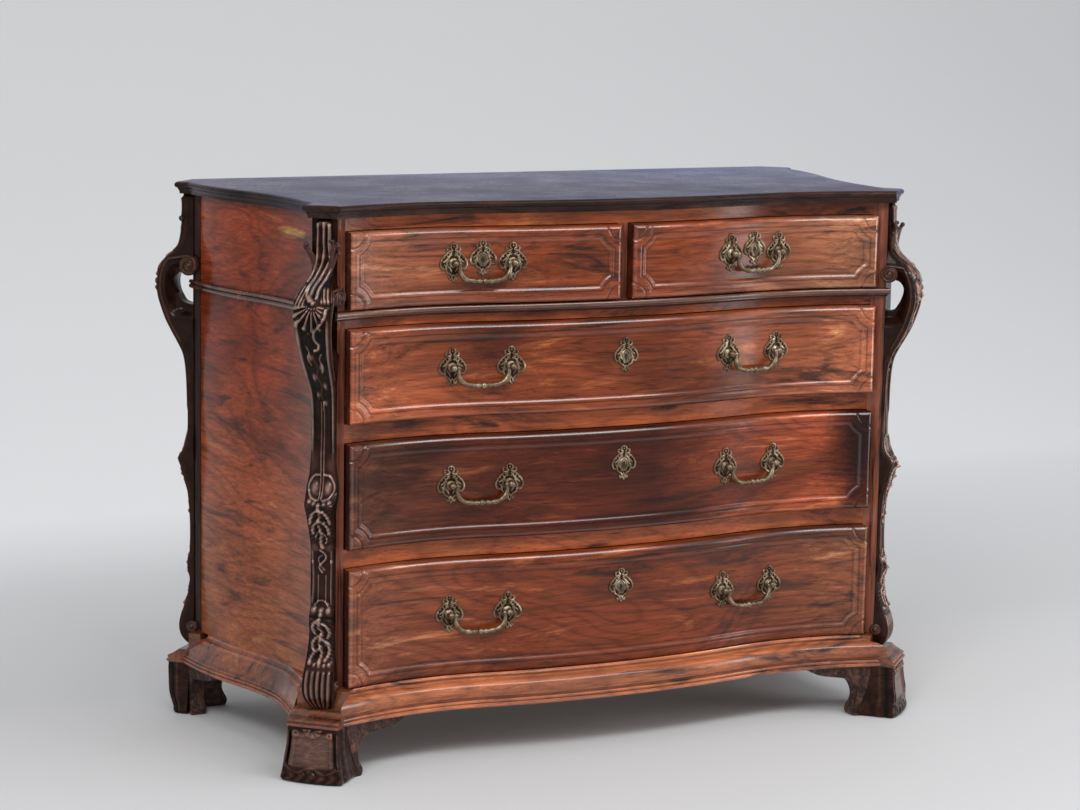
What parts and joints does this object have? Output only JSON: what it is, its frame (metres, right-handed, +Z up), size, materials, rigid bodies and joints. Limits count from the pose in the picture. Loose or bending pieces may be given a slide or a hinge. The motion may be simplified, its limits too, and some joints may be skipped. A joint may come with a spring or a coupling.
{
  "type": "serpentine chest of drawers",
  "caption": "Serpentine-front chest of drawers with canted corners, scroll pilasters, bracket feet, drawers with sunk panels, and brass plates with drop bail handles.",
  "frame": {"origin": "on the floor, under the middle of the chest's overall length and depth", "axes": "+X to the right of someone facing the drawers, -Y out of the front, +Z up"},
  "size_m": [1.3504, 0.6603, 0.981],
  "materials": {
    "polished_rosewood": "gloss",
    "dark_carved_wood": "satin",
    "plain_inner_wood": "matte",
    "gilt_brass": "satin"
  },
  "bodies": {
    "carcass": {"back_boards": "plain_inner_wood", "base_corner_blocks": "polished_rosewood", "base_moulding": "polished_rosewood", "bottom_board": "plain_inner_wood", "corner_post_front_left": "polished_rosewood", "corner_post_front_right": "polished_rosewood", "corner_post_rear_left": "polished_rosewood", "corner_post_rear_right": "polished_rosewood", "dust_boards": "plain_inner_wood", "foot_brackets": "dark_carved_wood", "foot_front_left": "dark_carved_wood", "foot_front_right": "dark_carved_wood", "foot_rear_left": "dark_carved_wood", "foot_rear_right": "dark_carved_wood", "pilaster_front_left": "dark_carved_wood", "pilaster_front_right": "dark_carved_wood", "pilaster_rear_left": "dark_carved_wood", "pilaster_rear_right": "dark_carved_wood", "rail_bottom": "polished_rosewood", "rail_lower": "polished_rosewood", "rail_middle": "polished_rosewood", "rail_top": "polished_rosewood", "rail_upper": "polished_rosewood", "rear_rails": "plain_inner_wood", "side_panel_left": "polished_rosewood", "side_panel_right": "polished_rosewood", "top_board": "polished_rosewood", "waist_moulding": "polished_rosewood", "drawer_divider": "polished_rosewood", "drawer_runners": "plain_inner_wood", "drawer_guides": "plain_inner_wood"},
    "drawer_top_left": {"drawer_top_left_front": "polished_rosewood", "drawer_top_left_box": "plain_inner_wood", "drawer_top_left_bottom": "plain_inner_wood", "drawer_top_left_fittings": "gilt_brass"},
    "bail_top_left": {"bail_top_left": "gilt_brass"},
    "drawer_top_right": {"drawer_top_right_front": "polished_rosewood", "drawer_top_right_box": "plain_inner_wood", "drawer_top_right_bottom": "plain_inner_wood", "drawer_top_right_fittings": "gilt_brass"},
    "bail_top_right": {"bail_top_right": "gilt_brass"},
    "drawer_second": {"drawer_second_front": "polished_rosewood", "drawer_second_box": "plain_inner_wood", "drawer_second_bottom": "plain_inner_wood", "drawer_second_fittings": "gilt_brass"},
    "bail_second_left": {"bail_second_left": "gilt_brass"},
    "bail_second_right": {"bail_second_right": "gilt_brass"},
    "drawer_third": {"drawer_third_front": "polished_rosewood", "drawer_third_box": "plain_inner_wood", "drawer_third_bottom": "plain_inner_wood", "drawer_third_fittings": "gilt_brass"},
    "bail_third_left": {"bail_third_left": "gilt_brass"},
    "bail_third_right": {"bail_third_right": "gilt_brass"},
    "drawer_bottom": {"drawer_bottom_front": "polished_rosewood", "drawer_bottom_box": "plain_inner_wood", "drawer_bottom_bottom": "plain_inner_wood", "drawer_bottom_fittings": "gilt_brass"},
    "bail_bottom_left": {"bail_bottom_left": "gilt_brass"},
    "bail_bottom_right": {"bail_bottom_right": "gilt_brass"}
  },
  "joints": [
    {"name": "drawer_top_left_slide", "type": "slide", "parent": "carcass", "child": "drawer_top_left", "axis": [0, -1, 0], "range_m": [0, 0.36]},
    {"name": "bail_top_left_hinge", "type": "hinge", "parent": "drawer_top_left", "child": "bail_top_left", "pos_m": [-0.27059, -0.26367, 0.8755], "axis": [-0.9925, 0.1222, 0], "range_deg": [-8, 165]},
    {"name": "drawer_top_right_slide", "type": "slide", "parent": "carcass", "child": "drawer_top_right", "axis": [0, -1, 0], "range_m": [0, 0.36]},
    {"name": "bail_top_right_hinge", "type": "hinge", "parent": "drawer_top_right", "child": "bail_top_right", "pos_m": [0.27059, -0.26367, 0.8755], "axis": [-0.9925, -0.1222, 0], "range_deg": [-8, 165]},
    {"name": "drawer_second_slide", "type": "slide", "parent": "carcass", "child": "drawer_second", "axis": [0, -1, 0], "range_m": [0, 0.36]},
    {"name": "bail_second_left_hinge", "type": "hinge", "parent": "drawer_second", "child": "bail_second_left", "pos_m": [-0.27059, -0.26367, 0.6955], "axis": [-0.9925, 0.1222, 0], "range_deg": [-8, 165]},
    {"name": "bail_second_right_hinge", "type": "hinge", "parent": "drawer_second", "child": "bail_second_right", "pos_m": [0.27059, -0.26367, 0.6955], "axis": [-0.9925, -0.1222, 0], "range_deg": [-8, 165]},
    {"name": "drawer_third_slide", "type": "slide", "parent": "carcass", "child": "drawer_third", "axis": [0, -1, 0], "range_m": [0, 0.36]},
    {"name": "bail_third_left_hinge", "type": "hinge", "parent": "drawer_third", "child": "bail_third_left", "pos_m": [-0.27059, -0.26367, 0.49], "axis": [-0.9925, 0.1222, 0], "range_deg": [-8, 165]},
    {"name": "bail_third_right_hinge", "type": "hinge", "parent": "drawer_third", "child": "bail_third_right", "pos_m": [0.27059, -0.26367, 0.49], "axis": [-0.9925, -0.1222, 0], "range_deg": [-8, 165]},
    {"name": "drawer_bottom_slide", "type": "slide", "parent": "carcass", "child": "drawer_bottom", "axis": [0, -1, 0], "range_m": [0, 0.36]},
    {"name": "bail_bottom_left_hinge", "type": "hinge", "parent": "drawer_bottom", "child": "bail_bottom_left", "pos_m": [-0.27059, -0.26367, 0.262], "axis": [-0.9925, 0.1222, 0], "range_deg": [-8, 165]},
    {"name": "bail_bottom_right_hinge", "type": "hinge", "parent": "drawer_bottom", "child": "bail_bottom_right", "pos_m": [0.27059, -0.26367, 0.262], "axis": [-0.9925, -0.1222, 0], "range_deg": [-8, 165]}
  ]
}
